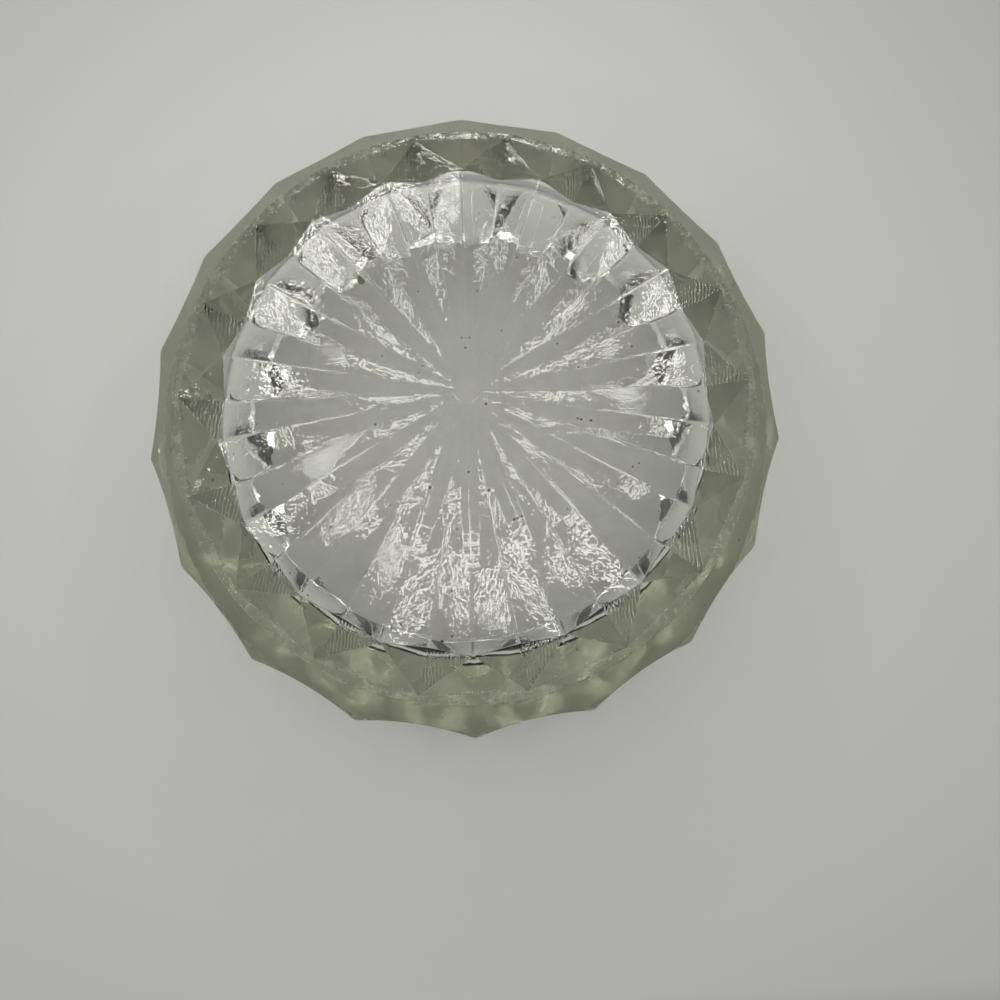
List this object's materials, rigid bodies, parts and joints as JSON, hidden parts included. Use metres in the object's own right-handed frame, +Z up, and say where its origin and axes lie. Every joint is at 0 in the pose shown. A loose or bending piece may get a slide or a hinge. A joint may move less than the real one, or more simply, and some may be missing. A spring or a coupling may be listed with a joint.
{
  "type": "pressed glass dish",
  "caption": "Heavy round dish of clear pressed glass, lying mouth down: a recessed star and a faceted bevel inside its foot ring, and a fluted wall round a deep hollow.",
  "frame": {"origin": "on the dish's axis, in the plane of its rim, which rests on the surface", "axes": "+Z up along the axis, from the open mouth to the star-cut base; a ridge between two flutes lies on +Y"},
  "size_m": [0.1478, 0.15, 0.0645],
  "materials": {
    "clear_glass": "fire-polished pressed glass, faintly green where it is thick"
  },
  "bodies": {
    "root": {"glass_dish": "clear_glass"}
  },
  "joints": []
}
